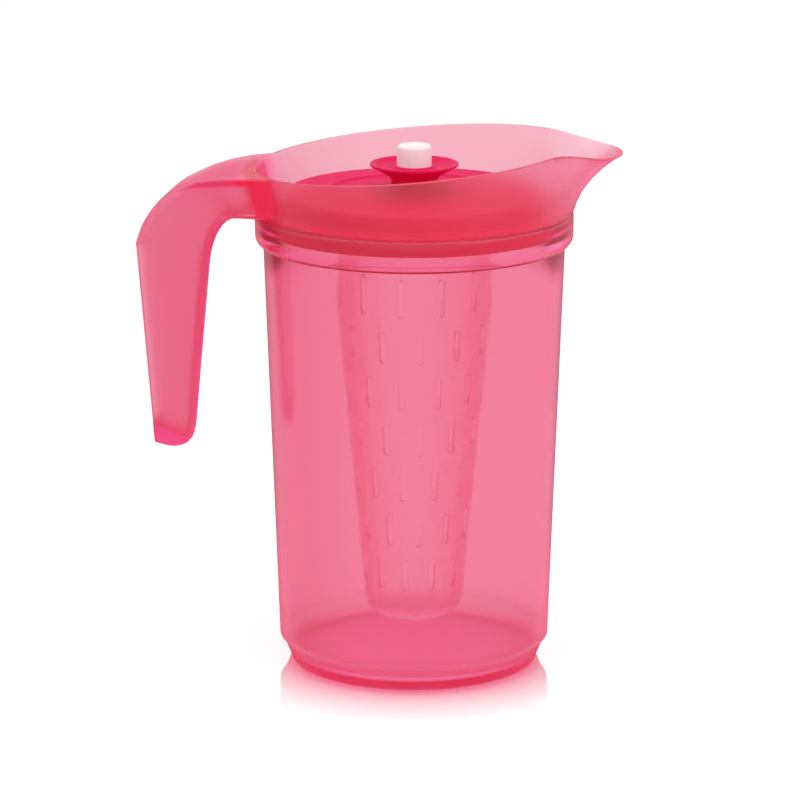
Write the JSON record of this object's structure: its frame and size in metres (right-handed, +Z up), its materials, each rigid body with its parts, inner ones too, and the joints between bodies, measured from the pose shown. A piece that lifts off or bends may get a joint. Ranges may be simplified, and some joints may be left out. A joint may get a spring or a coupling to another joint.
{
  "type": "fruit infuser pitcher",
  "caption": "Translucent tapered jug with a poured spout and hollow handle, a push-button seal seated below the rim and a slotted infuser basket hanging inside.",
  "frame": {"origin": "the jug's axis at the underside of its foot, on the table", "axes": "+Z up along the jug's axis, +X towards the spout, -X towards the handle; the XZ plane is the plane of symmetry"},
  "size_m": [0.201, 0.1322, 0.2204],
  "materials": {
    "jug_plastic": "frosted translucent injection-moulded polypropylene",
    "seal_plastic": "satin flexible moulded polyethylene",
    "button_plastic": "satin white moulded polypropylene",
    "infuser_plastic": "frosted translucent injection-moulded polypropylene"
  },
  "bodies": {
    "jug_body": {"jug": "jug_plastic"},
    "seal_body": {"seal": "seal_plastic"},
    "button_body": {"push_button": "button_plastic"},
    "infuser_body": {"infuser": "infuser_plastic"}
  },
  "joints": [
    {"name": "seal_lift", "type": "slide", "parent": "jug_body", "child": "seal_body", "axis": [0, 0, 1], "range_m": [0, 0.22]},
    {"name": "button_press", "type": "slide", "parent": "seal_body", "child": "button_body", "axis": [0, 0, -1], "range_m": [0, 0.0045], "stiffness_N_per_m": 1500},
    {"name": "infuser_pull", "type": "slide", "parent": "seal_body", "child": "infuser_body", "axis": [0, 0, -1], "range_m": [0, 0.012]}
  ]
}
